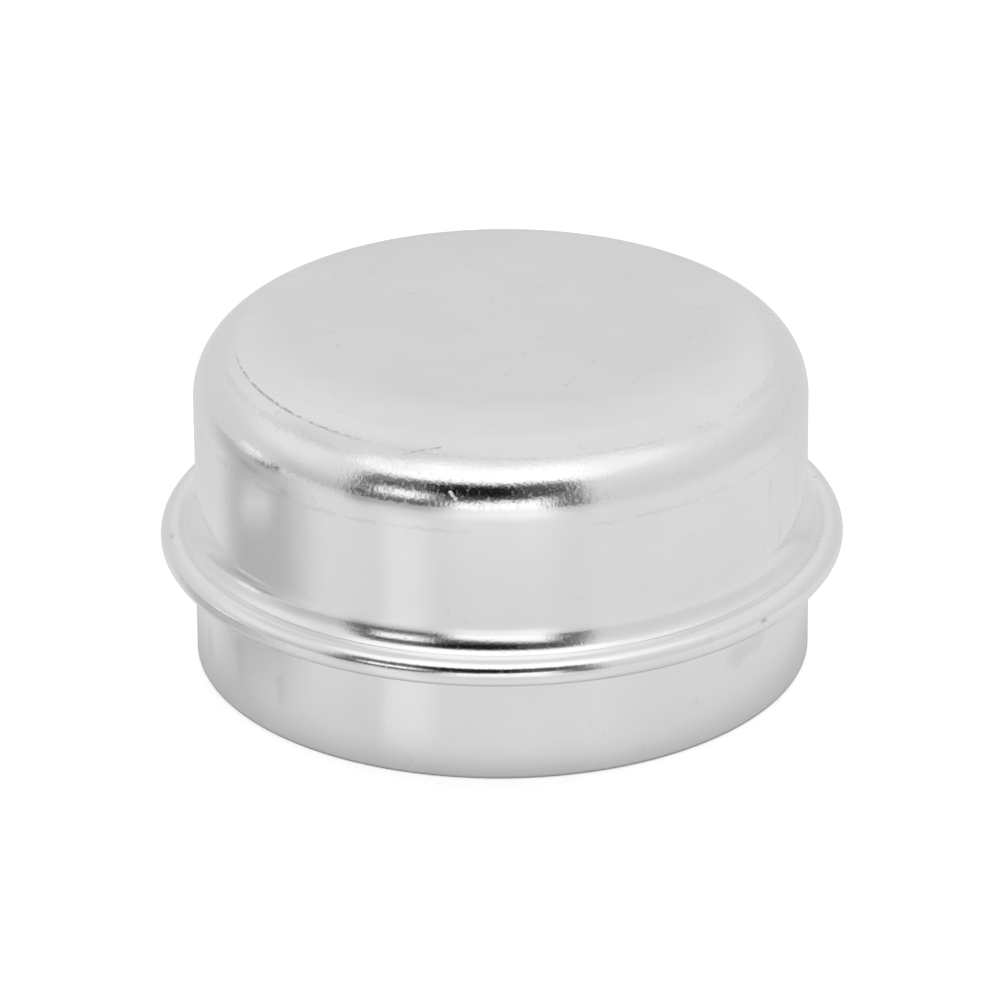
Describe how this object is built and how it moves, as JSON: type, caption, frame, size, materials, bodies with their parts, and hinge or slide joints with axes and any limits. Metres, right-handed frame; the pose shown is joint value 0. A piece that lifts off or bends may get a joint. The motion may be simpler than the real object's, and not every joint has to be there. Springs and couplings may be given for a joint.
{
  "type": "hub grease cap",
  "caption": "Drawn sheet-steel cap: a cup with a closed end, a folded stop bead and a skirt that presses into a wheel hub to keep grease in and dirt out.",
  "frame": {"origin": "centre of the open rim, in the plane that the cap stands on", "axes": "+Z along the cap's axis, from the open rim to the closed end"},
  "size_m": [0.056, 0.056, 0.028],
  "materials": {
    "plated_steel": "bright zinc plate"
  },
  "bodies": {
    "root": {"grease_cap": "plated_steel"}
  },
  "joints": []
}
